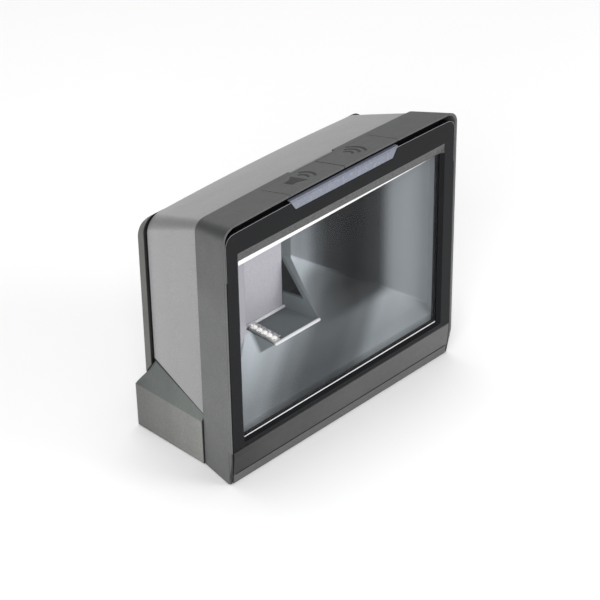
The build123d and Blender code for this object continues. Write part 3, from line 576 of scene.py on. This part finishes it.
def decal(name, node, body, shapes):
    """Thin printed shapes laid on the top of a key. Each shape is a closed outline of (x, distance) in mm."""
    height = drape(node)
    bm = bmesh.new()
    for outline in shapes:
        lower = [bm.verts.new(at(x, d, 0) + Vector((0, 0, height(x, d) + INK_GAP))) for x, d in outline]
        upper = [bm.verts.new(v.co + Vector((0, 0, INK_DEPTH))) for v in lower]
        bm.faces.new(upper)
        for i in range(len(lower)):
            j = (i + 1) % len(lower)
            bm.faces.new((lower[i], lower[j], upper[j], upper[i]))
    return piece(name, bm, MAT["icon"], body, smooth=False)


def wave(x, radius, half_angle, steps=10):
    """Outline of one sound wave: a narrow band along an arc that opens to the right."""
    angles = [math.radians(-half_angle + 2 * half_angle * k / steps) for k in range(steps + 1)]
    outer, inner = radius + WAVE_WIDTH / 2, radius - WAVE_WIDTH / 2
    there = [(x + outer * math.cos(a), SIGN_MIDDLE - outer * math.sin(a)) for a in angles]
    return there + [(x + inner * math.cos(a), SIGN_MIDDLE - inner * math.sin(a)) for a in reversed(angles)]


# loudspeaker sign on the left key, tone sign on the right key
decal("volume_sign", "volume_key", "volume_button", [
    [(-25.2, 13.9), (-22.0, 13.9), (-18.2, 16.6), (-18.2, 5.8), (-22.0, 8.5), (-25.2, 8.5)],
    wave(-18.6, 4.4, 48),
    wave(-18.6, 7.6, 44),
])
decal("tone_sign", "function_key", "function_button", [
    wave(11.4, 3.6, 54),
    wave(11.4, 6.6, 48),
    wave(11.4, 9.6, 42),
])

# reflector tray round the row of lamps, one cup to each lamp
TRAY_LEFT, TRAY_WIDTH = -27.3, 4.6
TRAY_FRONT, TRAY_LENGTH = 20.0, 17.4
TRAY_FLOOR = 47.35
CUP_RADIUS, CUP_DEPTH = 1.15, 1.5
CUP_RISE, CUP_CURVE = 0.9, 1.3
GRAIN = 0.08
CUP_LINE = -25.2          # the lamps stand along this line
CUPS = [22.1 + 3.3 * k for k in range(5)]
ROWS, COLS = 60, 18
random.seed(7)
tray = bmesh.new()
grid = []
for r in range(ROWS + 1):
    line = []
    for c in range(COLS + 1):
        x = TRAY_LEFT + TRAY_WIDTH * c / COLS
        d = TRAY_FRONT + TRAY_LENGTH * r / ROWS
        away = math.hypot(x - CUP_LINE, min(abs(cup - d) for cup in CUPS))
        slope = max(0.0, away - CUP_RADIUS) ** CUP_CURVE * CUP_RISE
        rough = random.uniform(-GRAIN, GRAIN)
        line.append(tray.verts.new(at(x, d, TRAY_FLOOR + min(CUP_DEPTH, slope) + rough)))
    grid.append(line)
for r in range(ROWS):
    for c in range(COLS):
        tray.faces.new((grid[r][c], grid[r][c + 1], grid[r + 1][c + 1], grid[r + 1][c]))
piece("lamp_reflector", tray, MAT["reflector"])

# ---------------------------------------------------------------- floor, light and camera
floor_mesh = bpy.data.meshes.new("floor")
REACH = 6                 # half the floor's width, in metres
floor_mesh.from_pydata([(-REACH, -REACH, 0), (REACH, -REACH, 0), (REACH, REACH, 0), (-REACH, REACH, 0)], [],
                       [(0, 1, 2, 3)])
floor = bpy.data.objects.new("floor", floor_mesh)
scene.collection.objects.link(floor)
g = Graph("floor_white")
g.set(Base_Color=g.mix(g.spread(g.noise(2.0, 2.0), 0.0, 1.0), (0.9, 0.9, 0.9), (0.93, 0.93, 0.93)),
      Roughness=0.9, Specular_IOR_Level=0.1)
floor_mesh.materials.append(g.mat)

# even light from all round, and plain white paper where the camera looks past the floor
world = bpy.data.worlds.new("studio")
scene.world = world
world.use_nodes = True
sky = world.node_tree
dome = sky.nodes["Background"]
dome.inputs["Color"].default_value = (1.0, 1.0, 1.0, 1.0)
dome.inputs["Strength"].default_value = 0.42
paper = sky.nodes.new("ShaderNodeBackground")
paper.inputs["Color"].default_value = (1.0, 1.0, 1.0, 1.0)
paper.inputs["Strength"].default_value = 1.0
rays = sky.nodes.new("ShaderNodeLightPath")
choose = sky.nodes.new("ShaderNodeMixShader")
sky.links.new(rays.outputs["Is Camera Ray"], choose.inputs["Fac"])
sky.links.new(dome.outputs[0], choose.inputs[1])
sky.links.new(paper.outputs[0], choose.inputs[2])
sky.links.new(choose.outputs[0], sky.nodes["World Output"].inputs["Surface"])


def softbox(name, place, target, size, power):
    """Square area light that faces a target."""
    data = bpy.data.lights.new(name, "AREA")
    data.shape = "RECTANGLE"
    data.size = size
    data.size_y = size
    data.energy = power
    lamp = bpy.data.objects.new(name, data)
    lamp.location = place
    lamp.rotation_euler = (Vector(target) - Vector(place)).to_track_quat("-Z", "Y").to_euler()
    scene.collection.objects.link(lamp)


softbox("key_light", (-1.2, -0.9, 1.0), (0, 0, 0.05), 0.9, 16.0)
softbox("top_light", (0.1, 0.2, 1.7), (0, 0, 0.05), 1.2, 14.0)
softbox("fill_light", (0.9, -1.4, 0.8), (0, 0, 0.06), 0.8, 10.0)

view = scene.view_settings
view.view_transform = "Standard"
view.look = "None"
view.exposure = 0.0

# camera turned round the object, tilted down and rolled a little
CAMERA_PLACE = (-0.6096, -0.6122, 0.6092)
azimuth, elevation, roll = (math.radians(v) for v in (-45.07, 32.83, -0.92))
flat = math.cos(elevation)
back = Vector((math.sin(azimuth) * flat, -math.cos(azimuth) * flat, math.sin(elevation)))
right = Vector((math.cos(azimuth), math.sin(azimuth), 0.0))
up = back.cross(right)
turned = (right * math.cos(roll) + up * math.sin(roll), up * math.cos(roll) - right * math.sin(roll), back)
camera_data = bpy.data.cameras.new("camera")
camera_data.sensor_width = 36.0
camera_data.lens = 129.58
camera_data.clip_start = 0.05
camera_data.clip_end = 30.0
camera = bpy.data.objects.new("camera", camera_data)
camera.matrix_world = Matrix.Translation(CAMERA_PLACE) @ Matrix(turned).transposed().to_4x4()
scene.collection.objects.link(camera)
scene.camera = camera
